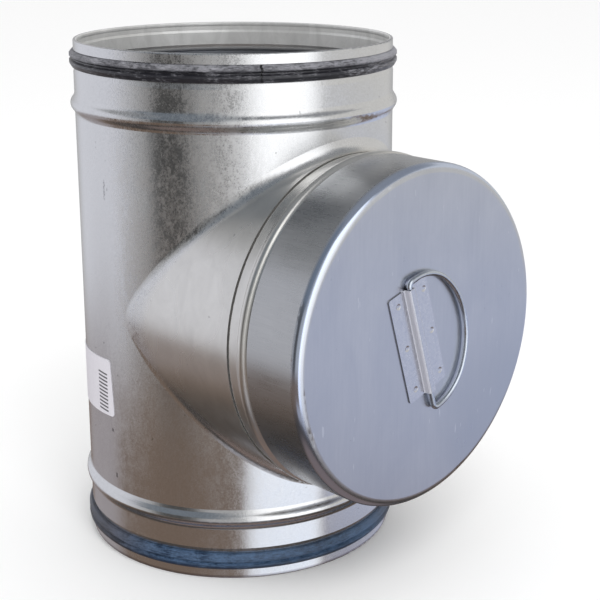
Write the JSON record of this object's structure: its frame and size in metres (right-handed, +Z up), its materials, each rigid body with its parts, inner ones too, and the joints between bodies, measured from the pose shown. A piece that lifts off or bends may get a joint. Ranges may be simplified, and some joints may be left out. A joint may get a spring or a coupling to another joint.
{
  "type": "duct tee with access cap",
  "caption": "Round galvanised duct tee with beaded spigots, double-lip rubber seals and a pull-off access cap on its branch, with a folding wire handle.",
  "frame": {"origin": "on the axis of the straight run, in the plane of the lower rim", "axes": "+Z up the straight run, -Y along the branch, +X to the right when facing the cap"},
  "size_m": [0.2043, 0.2678, 0.32],
  "materials": {
    "galvanised_sheet": "galvanised, satin, lightly mottled",
    "seal_rubber": "matt, dusty",
    "cap_sheet": "galvanised, satin",
    "clip_sheet": "galvanised, satin",
    "handle_wire": "bright zinc plated",
    "label_paper": "matt coated paper"
  },
  "bodies": {
    "tee": {"tee_body": "galvanised_sheet", "branch_spigot": "galvanised_sheet", "top_gasket": "seal_rubber", "bottom_gasket": "seal_rubber", "branch_gasket": "seal_rubber", "paper_label": "label_paper"},
    "cap": {"cap_shell": "cap_sheet", "handle_clip": "clip_sheet"},
    "handle": {"handle_bail": "handle_wire"}
  },
  "joints": [
    {"name": "cap_pull", "type": "slide", "parent": "tee", "child": "cap", "axis": [0, -1, 0], "range_m": [0, 0.035]},
    {"name": "handle_swing", "type": "hinge", "parent": "cap", "child": "handle", "pos_m": [-0.00515, -0.1632, 0.15594], "axis": [0.289, 0, -0.9573], "range_deg": [0, 180]}
  ]
}
